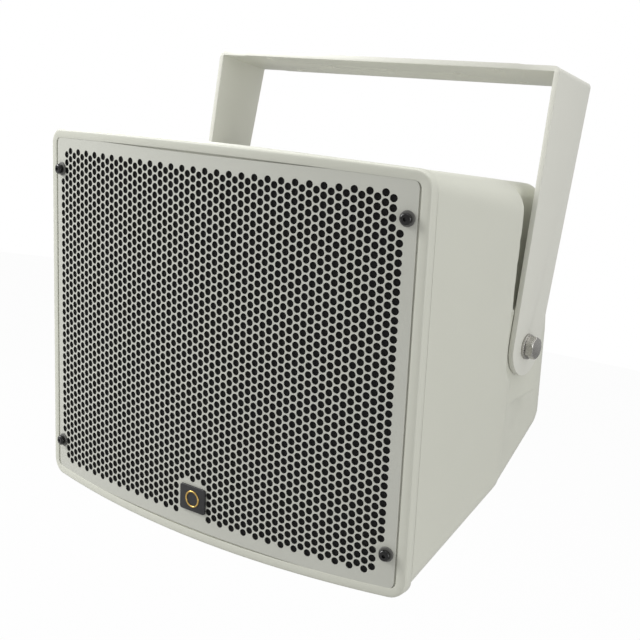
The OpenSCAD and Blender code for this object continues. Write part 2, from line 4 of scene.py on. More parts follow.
import bmesh
import bpy
from mathutils import Matrix, Vector


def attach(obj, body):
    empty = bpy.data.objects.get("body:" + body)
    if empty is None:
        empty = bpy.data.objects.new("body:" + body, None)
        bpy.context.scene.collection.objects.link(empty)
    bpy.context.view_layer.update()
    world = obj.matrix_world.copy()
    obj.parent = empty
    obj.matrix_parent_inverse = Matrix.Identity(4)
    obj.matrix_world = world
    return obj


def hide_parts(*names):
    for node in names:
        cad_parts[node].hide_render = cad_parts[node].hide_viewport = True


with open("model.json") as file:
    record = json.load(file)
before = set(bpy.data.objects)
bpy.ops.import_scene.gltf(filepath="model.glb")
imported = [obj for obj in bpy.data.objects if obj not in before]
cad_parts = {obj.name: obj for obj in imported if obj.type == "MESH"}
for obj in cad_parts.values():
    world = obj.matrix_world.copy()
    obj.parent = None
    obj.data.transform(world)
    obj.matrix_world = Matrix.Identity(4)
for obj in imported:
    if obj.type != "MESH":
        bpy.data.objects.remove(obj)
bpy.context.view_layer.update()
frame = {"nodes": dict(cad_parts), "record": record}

mm = 0.001

# The cabinet is drawn level, about its pivot axis, and then tipped as it hangs in the bracket.
pivot_drop = 212 * mm
tilt = math.radians(12)
TIPPED = Matrix.Translation((0, 0, -pivot_drop)) @ Matrix.Rotation(tilt, 4, "X")

# Front of the cabinet
cab_w = 355 * mm
cab_h = 300 * mm
bow_r = 865 * mm
crown_r = 4000 * mm
front_y = -198 * mm
rise = 3 * mm
rim_w = 7 * mm
rim_r = 12 * mm
sheet_r = 7.5 * mm
rim_t = 8.5 * mm
rim_gap = 1.1 * mm
rim_steps = 8
side_steps = 24
# The rim's section: inset from the outer edge and depth behind the front, with a ledge behind the sheet
rim_profile = [(inset * mm, depth * mm) for inset, depth in (
    (0.9, 8.5), (0.3, 8.2), (0, 7.7), (0, 1.7), (0.15, 0.95), (0.5, 0.45), (1.0, 0.15), (1.6, 0.03),
    (2.4, 0), (6.5, 0), (6.85, 0.15), (7.0, 0.5), (7.02, 1.7), (9.4, 1.7), (9.4, 8.5))]
sheet_gap = 1.4 * mm
sheet_w = cab_w - 2 * rim_w - 2 * sheet_gap
sheet_h = cab_h - 2 * rim_w - 2 * sheet_gap
sheet_off = 0.4 * mm
sheet_t = 1 * mm
screw_x = 162.5 * mm
screw_z = 115 * mm
screw_head_r = 4.1 * mm
screw_washer_r = 5.4 * mm
badge_z = -117 * mm
badge_w = 25 * mm
badge_h = 20 * mm
badge_t = 1.6 * mm

# Perforation of the sheet: round holes on a hexagonal grid, as wide as they look in the photograph
hole_r = 2.7 * mm
hole_pitch = 6.35 * mm
column_pitch = 5.499 * mm
columns = 29
field_x = -1.5 * mm
field_rows = 20
edge_rows = 17
bare_x = 15.5 * mm
bare_z = -104 * mm

# Shell behind the front
step_y = -26.5 * mm
flank_x = 165 * mm
notch_x = 148 * mm
shoulder_x = 152 * mm
notch_y = step_y - 1.2 * mm
notch_lean = 0.107
notch_top = 170 * mm
ledge_z = 34 * mm
ledge_y = 32 * mm
ledge_fall = 18 * mm
pad_x = 162.2 * mm
pad_z = -44 * mm
pocket_r = 30 * mm
block_back = 46 * mm
back_y = 137 * mm
back_r = 67 * mm
bulb_y = 56 * mm
belly_x = 79 * mm
belly_r = 70 * mm
arc_r = 286 * mm
wall = 5 * mm
front_wall = 14 * mm
pot_wall = 4 * mm
voxel = 2 * mm
top_fall = 0.134
bottom_rise = 0.19

# Input recess and safety eye
bay_z = 1 * mm
bay_w = 68 * mm
bay_h = 86 * mm
bay_floor = back_y - 26.5 * mm
panel_y = bay_floor + 2.5 * mm
boss_x = 31 * mm
boss_pitch = 36 * mm
knob_z = -19 * mm
eye_z = -70 * mm
eye_floor = back_y - 11 * mm
eye_r = 16 * mm

# Label
label_z = 58 * mm
label_w = 26 * mm
label_h = 12 * mm


def top_z(y):
    return rise + cab_h / 2 - top_fall * (y - front_y)


def bottom_z(y):
    return rise - cab_h / 2 + bottom_rise * (y - front_y)


# Shader maths

class Socket:
    """An output socket with the operators that are used, each adding one Math node."""

    def __init__(self, tree, out):
        self.tree = tree
        self.out = out

    def maths(self, operation, *values):
        node = self.tree.nodes.new("ShaderNodeMath")
        node.operation = operation
        for place, value in enumerate(values):
            if isinstance(value, Socket):
                self.tree.links.new(value.out, node.inputs[place])
            else:
                node.inputs[place].default_value = value
        return Socket(self.tree, node.outputs[0])

    def __add__(self, other):
        return self.maths("ADD", self, other)

    __radd__ = __add__

    def __mul__(self, other):
        return self.maths("MULTIPLY", self, other)

    __rmul__ = __mul__


class Finish:
    """A material that is built up node by node."""

    def __init__(self, name, roughness, **settings):
        self.material = bpy.data.materials.new(name)
        self.material.use_nodes = True
        self.tree = self.material.node_tree
        self.shader = self.tree.nodes["Principled BSDF"]
        self.put("Roughness", roughness)
        for socket, value in settings.items():
            self.put(socket.replace("_", " "), value)

    def put(self, socket, value):
        if isinstance(value, Socket):
            self.tree.links.new(value.out, self.shader.inputs[socket])
        else:
            self.shader.inputs[socket].default_value = value

    def node(self, kind, settings=None, out=0, **inputs):
        """Adds a node. An input goes by its name, or as s and its number where names repeat."""
        made = self.tree.nodes.new("ShaderNode" + kind)
        for setting, value in (settings or {}).items():
            setattr(made, setting, value)
        for socket, value in inputs.items():
            key = int(socket[1:]) if socket[1:].isdigit() else socket.replace("_", " ")
            target = made.inputs[key]
            if isinstance(value, Socket):
                self.tree.links.new(value.out, target)
            else:
                target.default_value = value
        return Socket(self.tree, made.outputs[out])

    def place(self):
        return self.node("TexCoord", out=3)

    def noise(self, scale, detail=2.0, stretch=(1, 1, 1), roughness=0.5):
        vector = self.node("Mapping", Vector=self.place(), Scale=stretch)
        return self.node("TexNoise", Vector=vector, Scale=scale, Detail=detail, Roughness=roughness)

    def mix(self, factor, first, second):
        return self.node("Mix", {"data_type": "RGBA"}, out=2, s0=factor, s6=first, s7=second)

    def bump(self, height, depth, strength=1.0):
        self.put("Normal", self.node("Bump", Height=height, Distance=depth, Strength=strength))


def rgb(r, g, b):
    return (r, g, b, 1.0)


def moulded_shell(name, colour, shade, roughness=0.42):
    """Painted moulding: a fine orange peel and faint uneven patches."""
    finish = Finish(name, roughness)
    patches = finish.noise(9.0, 3.0)
    finish.put("Base Color", finish.mix(patches, colour, shade))
    finish.put("Roughness", patches * 0.12 + (roughness - 0.06))
    finish.bump(finish.noise(900.0, 2.0) * 0.7 + finish.noise(240.0, 2.0) * 0.3, 0.12 * mm)
    return finish.material


def powder_coat(name, colour, shade, roughness=0.5):
    """Baked powder on steel: a tight grain and a slight sheen."""
    finish = Finish(name, roughness)
    patches = finish.noise(14.0, 2.0)
    finish.put("Base Color", finish.mix(patches, colour, shade))
    finish.put("Roughness", patches * 0.1 + (roughness - 0.05))
    finish.bump(finish.noise(1500.0, 3.0), 0.08 * mm)
    return finish.material


def dark_plastic(name, colour, shade, roughness=0.5, grain=1200.0):
    """A moulded, painted or printed surface with a fine grain."""
    finish = Finish(name, roughness)
    patches = finish.noise(30.0, 3.0)
    finish.put("Base Color", finish.mix(patches, colour, shade))
    finish.put("Roughness", patches * 0.16 + (roughness - 0.08))
    finish.bump(finish.noise(grain, 2.0), 0.1 * mm)
    return finish.material


def worked_metal(name, colour, shade, roughness=0.3, stretch=(1, 1, 1)):
    """Bare or plated metal with fine scratches."""
    finish = Finish(name, roughness, Metallic=1.0)
    scratches = finish.noise(420.0, 3.0, stretch)
    finish.put("Base Color", finish.mix(scratches, colour, shade))
    finish.put("Roughness", scratches * 0.2 + (roughness - 0.1))
    finish.bump(scratches, 0.04 * mm)
    return finish.material


def open_foam(name):
    finish = Finish(name, 0.95)
    pores = finish.node("TexVoronoi", Vector=finish.place(), Scale=900.0)
    finish.put("Base Color", finish.mix(pores, rgb(0.002, 0.002, 0.002), rgb(0.012, 0.012, 0.012)))
    finish.bump(pores, 0.6 * mm)
    return finish.material


def woven(name, colour, shade):
    """Pressed paper or treated cloth."""
    finish = Finish(name, 0.85)
    threads = finish.noise(700.0, 2.0)
    finish.put("Base Color", finish.mix(threads, colour, shade))
    finish.bump(threads, 0.3 * mm)
    return finish.material


body_paint = moulded_shell("body_paint", rgb(0.56, 0.565, 0.49), rgb(0.60, 0.605, 0.53))
grille_paint = powder_coat("grille_paint", rgb(0.50, 0.505, 0.45), rgb(0.54, 0.545, 0.49), 0.45)
grey_rubber = dark_plastic("grey_rubber", rgb(0.12, 0.12, 0.11), rgb(0.09, 0.09, 0.085), 0.5)
# Near-black finish for the hole walls: painted shade for the dark insides of the perforation, where the
# real walls carry the grille's paint
painted_hole_shade = powder_coat("painted_hole_shade", rgb(0.05, 0.05, 0.045), rgb(0.08, 0.08, 0.07), 0.6)
bracket_paint = powder_coat("bracket_paint", rgb(0.62, 0.62, 0.56), rgb(0.66, 0.66, 0.60), 0.42)
black_plastic = dark_plastic("black_plastic", rgb(0.010, 0.010, 0.011), rgb(0.018, 0.018, 0.019))
rubber = dark_plastic("rubber", rgb(0.012, 0.012, 0.012), rgb(0.02, 0.02, 0.02), 0.75, 500.0)
black_oxide = dark_plastic("black_oxide", rgb(0.003, 0.003, 0.003), rgb(0.006, 0.006, 0.006), 0.22)
foam = open_foam("foam")
stainless = worked_metal("stainless", rgb(0.40, 0.39, 0.37), rgb(0.50, 0.49, 0.46), 0.28)
zinc = worked_metal("zinc", rgb(0.60, 0.61, 0.63), rgb(0.72, 0.72, 0.72), 0.35)
ferrite = dark_plastic("ferrite", rgb(0.035, 0.035, 0.037), rgb(0.055, 0.055, 0.057), 0.7, 600.0)
cone_paper = woven("cone_paper", rgb(0.02, 0.02, 0.022), rgb(0.035, 0.035, 0.037))
spider_cloth = woven("spider_cloth", rgb(0.45, 0.30, 0.08), rgb(0.55, 0.38, 0.12))
board_green = dark_plastic("board_green", rgb(0.02, 0.075, 0.035), rgb(0.03, 0.10, 0.05), 0.35, 300.0)
copper = worked_metal("copper", rgb(0.55, 0.18, 0.07), rgb(0.68, 0.26, 0.11), 0.35, (1, 1, 30))
sleeve_blue = dark_plastic("sleeve_blue", rgb(0.03, 0.05, 0.15), rgb(0.045, 0.07, 0.19), 0.3)
brass = worked_metal("brass", rgb(0.55, 0.38, 0.12), rgb(0.66, 0.48, 0.18), 0.35)
knob_plastic = moulded_shell("knob_plastic", rgb(0.60, 0.58, 0.48), rgb(0.64, 0.62, 0.52), 0.4)
grey_plastic = dark_plastic("grey_plastic", rgb(0.26, 0.26, 0.24), rgb(0.30, 0.30, 0.28))
label_film = dark_plastic("label_film", rgb(0.76, 0.76, 0.75), rgb(0.80, 0.80, 0.79), 0.35, 2000.0)
gold = worked_metal("gold", rgb(0.62, 0.40, 0.11), rgb(0.74, 0.50, 0.16), 0.3)
print_grey = dark_plastic("print_grey", rgb(0.36, 0.36, 0.35), rgb(0.42, 0.42, 0.41), 0.6)

SLOT_FINISH = {
    "body_paint": body_paint, "bracket_paint": bracket_paint, "grille_paint": grille_paint,
    "black_plastic": black_plastic, "foam": foam, "rubber": rubber, "black_screw": black_oxide,
    "stainless": stainless, "zinc": zinc, "ferrite": ferrite, "cone_paper": cone_paper,
    "spider_cloth": spider_cloth, "board": board_green, "copper": copper,
    "blue_plastic": sleeve_blue, "brass": brass, "knob_plastic": knob_plastic,
    "grey_plastic": grey_plastic, "label": label_film, "badge": black_plastic,
}


def dress_nodes():
    """Gives every node of the frame the finish of its slot."""
    for part in frame["record"]["subparts"]:
        mesh = frame["nodes"][part["node"]].data
        mesh.materials.clear()
        mesh.materials.append(SLOT_FINISH[part["material_slot"]])


# Modelling

def deselect():
    bpy.ops.object.select_all(action="DESELECT")


def take(obj):
    """Makes obj the only selected object and the active one."""
    deselect()
    obj.hide_set(False)
    obj.select_set(True)
    bpy.context.view_layer.objects.active = obj
    return obj


def named(name):
    obj = bpy.context.view_layer.objects.active
    obj.name = name
    bpy.ops.object.transform_apply(location=True, rotation=True, scale=True)
    return obj


def block(name, low, high):
    deselect()
    centre = (Vector(low) + Vector(high)) / 2
    bpy.ops.mesh.primitive_cube_add(size=1, location=centre)
    bpy.context.view_layer.objects.active.scale = Vector(high) - Vector(low)
    return named(name)


def rod(name, y0, y1, r, x=0.0, z=0.0, facets=64):
    """A cylinder along Y."""
    deselect()
    bpy.ops.mesh.primitive_cylinder_add(
        vertices=facets, radius=r, depth=y1 - y0, location=(x, (y0 + y1) / 2, z),
        rotation=(math.pi / 2, 0, 0))
    return named(name)


def pin(name, x0, x1, r, facets=64):
    """A cylinder along X, on the pivot's axis."""
    deselect()
    bpy.ops.mesh.primitive_cylinder_add(
        vertices=facets, radius=r, depth=x1 - x0, location=((x0 + x1) / 2, 0, 0),
        rotation=(0, math.pi / 2, 0))
    return named(name)


def ball(name, place, r, segments=64):
    deselect()
    bpy.ops.mesh.primitive_uv_sphere_add(
        segments=segments, ring_count=segments // 2, radius=r, location=place)
    return named(name)


def joined(name, parts):
    deselect()
    for part in parts:
        part.select_set(True)
    bpy.context.view_layer.objects.active = parts[0]
    bpy.ops.object.join()
    return named(name)


def hull_round(name, parts):
    """The tight skin round several parts."""
    obj = take(joined(name, parts))
    bpy.ops.object.mode_set(mode="EDIT")
    bpy.ops.mesh.select_all(action="SELECT")
    bpy.ops.mesh.convex_hull()
    bpy.ops.mesh.normals_make_consistent(inside=False)
    bpy.ops.object.mode_set(mode="OBJECT")
    return obj


def modify(obj, kind, **settings):
    take(obj)
    modifier = obj.modifiers.new(kind.lower(), kind)
    for setting, value in settings.items():
        setattr(modifier, setting, value)
    bpy.ops.object.modifier_apply(modifier=modifier.name)
    return obj


def cut(obj, *tools, solver="EXACT", operation="DIFFERENCE"):
    for tool in tools:
        modify(obj, "BOOLEAN", object=tool, operation=operation, solver=solver)
        bpy.data.objects.remove(tool)
    return obj


def bevelled(obj, width, segments=3, angle=30):
    return modify(obj, "BEVEL", width=width, segments=segments, limit_method="ANGLE",
                  angle_limit=math.radians(angle), harden_normals=False)


def smooth(obj, angle=35):
    take(obj)
    bpy.ops.object.shade_smooth_by_angle(angle=math.radians(angle))
    return obj


def pick_edges(obj, keep):
    """Selects the edges whose two ends pass the test, in edit mode's edge mode."""
    take(obj)
    bpy.ops.object.mode_set(mode="EDIT")
    bpy.ops.mesh.select_mode(type="EDGE")
    bpy.ops.mesh.select_all(action="DESELECT")
    bpy.ops.object.mode_set(mode="OBJECT")
    for edge in obj.data.edges:
        a, b = (obj.data.vertices[i].co for i in edge.vertices)
        edge.select = keep(a, b)
    bpy.ops.object.mode_set(mode="EDIT")


def slab(name, y0, y1, half_w, z0, z1, r, cuts=0):
    """A plate across the cabinet with round corners, divided along X so that it can bend."""
    obj = block(name, (-half_w, y0, z0), (half_w, y1, z1))
    if cuts:
        pick_edges(obj, lambda a, b: abs(a.x - b.x) > 0.5 * half_w)
        bpy.ops.mesh.subdivide(number_cuts=cuts)
        bpy.ops.object.mode_set(mode="OBJECT")
    pick_edges(obj, lambda a, b: abs(a.x) > 0.999 * half_w and abs(a.y - b.y) > 0.5 * (y1 - y0)
               and abs(a.z - b.z) < 1e-6 and abs(a.x - b.x) < 1e-6)
    bpy.ops.mesh.bevel(offset=r, segments=12, affect="EDGES")
    bpy.ops.object.mode_set(mode="OBJECT")
    return obj


def crowned(obj):
    """Lowers the top and raises the bottom a little towards the corners."""
    for vertex in obj.data.vertices:
        drop = vertex.co.x ** 2 / (2 * crown_r)
        vertex.co.z -= drop if vertex.co.z > rise else -drop
    return obj


def bow_back(x):
    return bow_r - math.sqrt(bow_r ** 2 - x ** 2)


def bowed(obj):
    """Bends a flat piece to the bow of the front."""
    for vertex in obj.data.vertices:
        vertex.co.y += bow_back(vertex.co.x)
    return obj


def tipped(obj):
    obj.data.transform(TIPPED)
    return obj


def finished(obj, body, slot, material, *nodes, angle=35):
    """Seats a piece: its finish, its body and the nodes that it stands for."""
    smooth(obj, angle)
    obj.data.materials.clear()
    obj.data.materials.append(material)
    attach(obj, body)
    if nodes:
        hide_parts(*nodes)
    return obj


def refined(node, name, width, segments=3, angle=30):
    """A copy of a node with its loose triangles merged and its edges broken."""
    source = frame["nodes"][node]
    obj = source.copy()
    obj.data = source.data.copy()
    obj.name = name
    for key in list(obj.keys()):
        del obj[key]
    bpy.context.scene.collection.objects.link(obj)
    obj.parent = None
    obj.matrix_world = Matrix.Identity(4)
    take(obj)
    bpy.ops.object.mode_set(mode="EDIT")
    bpy.ops.mesh.select_all(action="SELECT")
    bpy.ops.mesh.remove_doubles(threshold=1e-6)
    bpy.ops.mesh.dissolve_limited(angle_limit=math.radians(1))
    bpy.ops.object.mode_set(mode="OBJECT")
    return bevelled(obj, width, segments, angle)


# Housing

def front_block(front_in, back_in, y):
    """The part behind the rim: it runs from the bowed front to the flanks' plain section at y."""
    front = slab("front", front_y, front_y + bow_back(cab_w / 2), cab_w / 2 - 0.2 * mm - front_in,
                 rise - cab_h / 2 + 0.4 * mm + front_in, rise + cab_h / 2 - 0.6 * mm - front_in,
                 rim_r, cuts=23)
    crowned(front)
    half_w = flank_x - back_in
    upper = slab("upper", y, y + 1 * mm, half_w, 0, top_z(y) - back_in, 26 * mm)
    lower = slab("lower", step_y - 1 * mm, step_y, half_w, bottom_z(step_y) + back_in, 0, 12 * mm)
    return hull_round("front_block", [front, upper, lower])


def arm_notches():
    """The notches for the arms: each has an edge that leans back, over a sloping ledge."""
    tools = []
    for side in (-1, 1):
        x0, x1 = sorted((side * notch_x, side * (notch_x + 40 * mm)))
        tool = block("notch", (x0, notch_y, ledge_z), (x1, 60 * mm, notch_top))
        for vertex in tool.data.vertices:
            if vertex.co.z > ledge_z + 1 * mm and vertex.co.y < 0:
                vertex.co.y += notch_lean * (notch_top - ledge_z)
            if vertex.co.z < ledge_z + 1 * mm and vertex.co.y > 0:
                vertex.co.y = ledge_y
                vertex.co.z -= ledge_fall
        tools.append(tool)
    return tools


def shoulder(inset):
    """The top runs on behind the arms, narrower, to a soft round edge."""
    r = 22 * mm
    edge = 11 * mm
    start_y = -70 * mm
    parts = [slab("start", start_y, start_y + 1 * mm, shoulder_x - inset, 0,
                  top_z(start_y) - inset - 0.5 * mm, 14 * mm)]
    y = block_back - r
    for side in (-1, 1):
        place = Vector((side * (shoulder_x - r), y, top_z(y) - inset - edge))
        deselect()
        bpy.ops.mesh.primitive_torus_add(
            location=place, rotation=(-math.atan(top_fall), 0, 0), major_segments=96, minor_segments=24,
            major_radius=r - inset - edge, minor_radius=edge)
        parts.append(named("edge"))
        deselect()
        bpy.ops.mesh.primitive_cylinder_add(
            vertices=96, radius=r - inset + 10 * mm, depth=1 * mm,
            location=place + Vector((0, -12, -113)) * mm)
        parts.append(named("foot"))
    return hull_round("shoulder", parts)


def back_edge(inset):
    """Balls along the lower back edge, round the plan's corners."""
    r = 18 * mm
    turn = belly_r - r
    parts = []
    for side in (-1, 1):
        for step in range(9):
            angle = math.radians(5 + step * 8.4)
            y = bulb_y + turn * math.sin(angle)
            place = (side * (belly_x + turn * math.cos(angle)), y, bottom_z(y) + r * 1.02)
            parts.append(ball("edge", place, r - inset, 32))
    y = back_y - r
    parts.append(ball("edge", (0, y, bottom_z(y) + r * 1.02), r - inset, 32))
    return parts


def bulb(inset):
    """The barrel-shaped back."""
    parts = [slab("start", -60 * mm, -59 * mm, 155 * mm - inset, bottom_z(-60 * mm) + 2 * mm + inset,
                  100 * mm - inset, 40 * mm)]
    for side in (-1, 1):
        parts.append(ball("corner", (side * 80 * mm, bulb_y, 41 * mm), back_r - inset))
        parts.append(ball("belly", (side * belly_x, bulb_y, -5 * mm), belly_r - inset))
    for step in range(-4, 5):
        x = step * 16 * mm
        y = back_y - back_r - arc_r + math.sqrt(arc_r ** 2 - x ** 2)
        parts.append(ball("crest", (x, y, 38 * mm), back_r - inset))
    return hull_round("bulb", parts + back_edge(inset))


def lower_flank():
    """Below the arms the flank runs smoothly into the back."""
    parts = [slab("start", step_y - 1 * mm, step_y, flank_x, bottom_z(step_y), -38 * mm, 14 * mm)]
    for side in (-1, 1):
        parts.append(ball("haunch", (side * 78 * mm, bulb_y, -29 * mm), back_r + 2 * mm))
    return hull_round("lower_flank", parts + back_edge(0))


def pads():
    """The faces that the arms bear on, with a sloping ledge above."""
    back = block("back", (-pad_x, ledge_y - 1 * mm, pad_z), (pad_x, ledge_y, ledge_z - ledge_fall))
    front = block("front", (-pad_x, -60 * mm, pad_z), (pad_x, step_y, ledge_z))
    return hull_round("pads", [back, front])


def arm_pockets():
    tools = []
    for side in (-1, 1):
        x0, x1 = sorted((side * pad_x, side * (pad_x + 20 * mm)))
        tools.append(pin("pocket", x0, x1, pocket_r, facets=96))
        tools.append(block("pocket", (x0, -pocket_r, 0), (x1, 80 * mm, ledge_z - 3 * mm)))
        tools.append(block("pocket", (x0, 0, -pocket_r), (x1, 80 * mm, 60 * mm)))
    return tools


def drum(r):
    """A tall upright cylinder on the axis of the bow."""
    deselect()
    bpy.ops.mesh.primitive_cylinder_add(
        vertices=1440, radius=r, depth=800 * mm, location=(0, front_y + bow_r, 0))
    return named("drum")


def housing_shell():
    obj = cut(front_block(0, 0, -16 * mm), *arm_notches())
    cut(obj, shoulder(0), bulb(0), lower_flank(), pads(), operation="UNION")
    cut(obj, *arm_pockets())
    modify(obj, "REMESH", mode="VOXEL", voxel_size=voxel)
    soften(obj)
    return obj


def ramp(value, start, length):
    """Runs from 0 at start to 1 over a length."""
    return min(1, max(0, (value - start) / length))


def soften(obj):
    """Rounds the edges a little all over, and the valley behind the shoulder much more."""
    group = obj.vertex_groups.new(name="valley")
    for vertex in obj.data.vertices:
        x, y, z = vertex.co
        weight = ramp(y, -5 * mm, 30 * mm) * ramp(z, 55 * mm, 25 * mm)
        weight *= 0.35 + 0.65 * ramp(125 * mm - abs(x), 0, 50 * mm)
        if weight > 0:
            group.add([vertex.index], weight, "REPLACE")
    modify(obj, "SMOOTH", factor=0.5, iterations=40, vertex_group="valley")
    modify(obj, "SMOOTH", factor=0.5, iterations=3)


def recess_tools():
    """What the input recess, its lip and the eye's pocket take out of the back."""
    half_w, half_h = bay_w / 2, bay_h / 2
    past = back_y + 30 * mm
    return [
        slab("bay", bay_floor, past, half_w, bay_z - half_h, bay_z + half_h, 3 * mm),
        slab("lip", back_y - 4 * mm, past, half_w + 5 * mm, bay_z - half_h - 3.5 * mm,
             bay_z + half_h + 3.5 * mm, 5 * mm),
        rod("eye", eye_floor, past, eye_r, z=eye_z, facets=96),
        slab("wings", back_y - 7 * mm, past, 28 * mm, eye_z - 1 * mm, eye_z + 7 * mm, 3.5 * mm),
    ]


def bay_bosses():
    """The bored pillars that the input panel's screws go into."""
    parts = []
    for side in (-1, 1):
        for row in (-1, 0, 1):
            x, z = side * boss_x, bay_z + row * boss_pitch
            deselect()
            bpy.ops.mesh.primitive_cone_add(
                vertices=48, radius1=4.2 * mm, radius2=3.4 * mm, depth=22 * mm,
                location=(x, bay_floor + 11 * mm - 0.5 * mm, z), rotation=(-math.pi / 2, 0, 0))
            boss = named("boss")
            cut(boss, rod("bore", bay_floor + 9 * mm, bay_floor + 30 * mm, 1.5 * mm, x, z, 32))
            parts.append(bevelled(boss, 0.4 * mm))
    return parts


def rim_path(inset, radius):
    """The rim's outline, inset from its outer edge: round corners and slightly crowned long sides."""
    half_w, half_h = cab_w / 2 - inset, cab_h / 2 - inset
    points = []
    for corner, (sx, sz) in enumerate(((1, -1), (1, 1), (-1, 1), (-1, -1))):
        for step in range(rim_steps + 1):
            angle = math.radians(-90 + 90 * corner + 90 * step / rim_steps)
            x = sx * (half_w - radius) + radius * math.cos(angle)
            z = sz * (half_h - radius) + radius * math.sin(angle)
            points.append((x, z))
        nx, nz = ((1, 1), (-1, 1), (-1, -1), (1, -1))[corner]
        x1, z1 = nx * (half_w - radius), nz * (half_h - radius)
        if corner % 2 == 0:
            start, end = (half_w * sx, points[-1][1]), (half_w * sx, z1)
        else:
            start, end = (points[-1][0], half_h * sz), (x1, half_h * sz)
        for step in range(1, side_steps):
            t = step / side_steps
            points.append((start[0] + (end[0] - start[0]) * t, start[1] + (end[1] - start[1]) * t))
    return [(x, rise + z - math.copysign(x ** 2 / (2 * crown_r), z)) for x, z in points]


def rim():
    """The narrow frame round the front: a rounded band, set off from the shell by a shadow line."""
    mesh = bpy.data.meshes.new("rim")
    build = bmesh.new()
    loops = []
    for inset, depth in rim_profile:
        radius = max(rim_r - inset, 2 * mm)
        loops.append([build.verts.new((x, front_y + depth + bow_back(x), z))
                      for x, z in rim_path(inset, radius)])
    for first, second in zip(loops, loops[1:] + loops[:1]):
        for i in range(len(first)):
            j = (i + 1) % len(first)
            build.faces.new((first[i], first[j], second[j], second[i]))
    bmesh.ops.recalc_face_normals(build, faces=build.faces)
    build.to_mesh(mesh)
    build.free()
    obj = bpy.data.objects.new("rim", mesh)
    bpy.context.scene.collection.objects.link(obj)
    return obj


def housing():
    obj = housing_shell()
    cut(obj, drum(bow_r - rim_t - rim_gap), operation="INTERSECT")
    opening = slab("opening", front_y - 5 * mm, front_y + 60 * mm, cab_w / 2 - rim_w,
                   rise - cab_h / 2 + rim_w, rise + cab_h / 2 - rim_w, sheet_r + 1.2 * mm)
    cut(opening, drum(bow_r - 13.9 * mm))
    cut(obj, opening)
    hollow = front_block(front_wall, wall, step_y - wall)
    cut(hollow, shoulder(wall), bulb(wall), operation="UNION")
    half_w, half_h = bay_w / 2 + pot_wall, bay_h / 2 + pot_wall
    pot = block("pot", (-half_w, bay_floor - pot_wall, bay_z - half_h), (half_w, back_y, bay_z + half_h))
    cut(hollow, pot, rod("pot", eye_floor - 24 * mm, back_y, eye_r + pot_wall, z=eye_z))
    cut(obj, hollow, *recess_tools())
    obj = joined("housing", [obj, rim()] + bay_bosses())
    return finished(tipped(obj), "cabinet", "body_paint", body_paint, "enclosure")


# Front

def hole_places():
    """Centres of the perforation: columns alternate by half a pitch, the outermost are cut short.
    The sheet is left bare behind the badge."""
    for column in range(-columns, columns + 1):
        x = field_x + column * column_pitch
        offset = 0.5 if column % 2 else 0.0
        reach = field_rows + offset
        if abs(column) == columns:
            reach = edge_rows - 0.5
        row = -reach
        while row <= reach:
            z = row * hole_pitch
            if not (abs(x - field_x) < bare_x and z < bare_z):
                yield x, z
            row += 1


def grille_panel():
    obj = slab("grille_panel", front_y + sheet_off, front_y + sheet_off + sheet_t, sheet_w / 2,
               rise - sheet_h / 2, rise + sheet_h / 2, sheet_r)
    for column in range(-columns - 1, columns + 2):
        take(obj)
        bpy.ops.object.mode_set(mode="EDIT")
        bpy.ops.mesh.select_all(action="SELECT")
        bpy.ops.mesh.bisect(
            plane_co=(field_x + (column - 0.5) * column_pitch, 0, 0), plane_no=(1, 0, 0))
        bpy.ops.object.mode_set(mode="OBJECT")
    punch = rod("punch", front_y - 1 * mm, front_y + 4 * mm, hole_r, facets=12)
    mesh = punch.data
    punches = []
    for x, z in hole_places():
        copy = bpy.data.objects.new("punch", mesh.copy())
        copy.data.transform(Matrix.Translation((x, 0, rise + z)))
        bpy.context.scene.collection.objects.link(copy)
        punches.append(copy)
    bpy.data.objects.remove(punch)
    cut(obj, joined("punches", punches), solver="MANIFOLD")
    edge_x, edge_z = sheet_w / 2 - 2 * mm, sheet_h / 2 - 2 * mm
    # Faces round the holes, which take the painted shade below
    walls = [face.index for face in obj.data.polygons
             if abs(face.normal.y) < 0.5
             and abs(face.center.x) < edge_x and abs(face.center.z - rise) < edge_z]
    finished(tipped(bowed(obj)), "cabinet", "grille_paint", grille_paint, "grille", angle=30)
    # The hole walls get the near-black painted shade
    obj.data.materials.append(painted_hole_shade)
    for index in walls:
        obj.data.polygons[index].material_index = 1


def at_bow(obj, x):
    """Moves a piece made at the middle of the front to its place along the bow."""
    angle = math.asin(x / bow_r)
    axis = Matrix.Translation((0, front_y + bow_r, 0))
    obj.data.transform(axis @ Matrix.Rotation(angle, 4, "Z") @ axis.inverted())
    return obj


def grille_screws():
    heads, washers = [], []
    for side in (-1, 1):
        for level in (-1, 1):
            z = rise + level * screw_z
            y = front_y + sheet_off
            washer = bevelled(rod("washer", y - 1.2 * mm, y + 0.2 * mm, screw_washer_r, z=z), 0.5 * mm)
            washers.append(at_bow(washer, side * screw_x))
            head = rod("head", y - 5 * mm, y - 1.2 * mm, screw_head_r, z=z)
            bevelled(head, 1.8 * mm, 8)
            socket = rod("socket", y - 6 * mm, y - 3.4 * mm, 1.4 * mm, z=z, facets=6)
            cut(head, socket)
            shank = rod("shank", y - 1 * mm, y + 30 * mm, 1.9 * mm, z=z, facets=24)
            heads.append(at_bow(joined("screw", [head, shank]), side * screw_x))
    screws = tipped(joined("front_screws", heads))
    finished(screws, "cabinet", "black_screw", black_oxide, "grille_screws")
    finished(tipped(joined("front_washers", washers)), "cabinet", "black_screw", grey_rubber)


def badge():
    """A bare black plate with a plain gilt ring."""
    y = front_y + sheet_off
    z = rise + badge_z
    plate = slab("badge_plate", y - badge_t, y, badge_w / 2, z - badge_h / 2, z + badge_h / 2, 2 * mm)
    bevelled(plate, 0.4 * mm)
    finished(tipped(plate), "cabinet", "badge", black_plastic, "badge")
    deselect()
    bpy.ops.mesh.primitive_torus_add(
        location=(0, y - badge_t, z), rotation=(math.pi / 2, 0, 0), major_radius=6 * mm,
        minor_radius=0.7 * mm, major_segments=64, minor_segments=12)
    ring = named("badge_ring")
    finished(tipped(ring), "cabinet", "badge", gold)


# Back

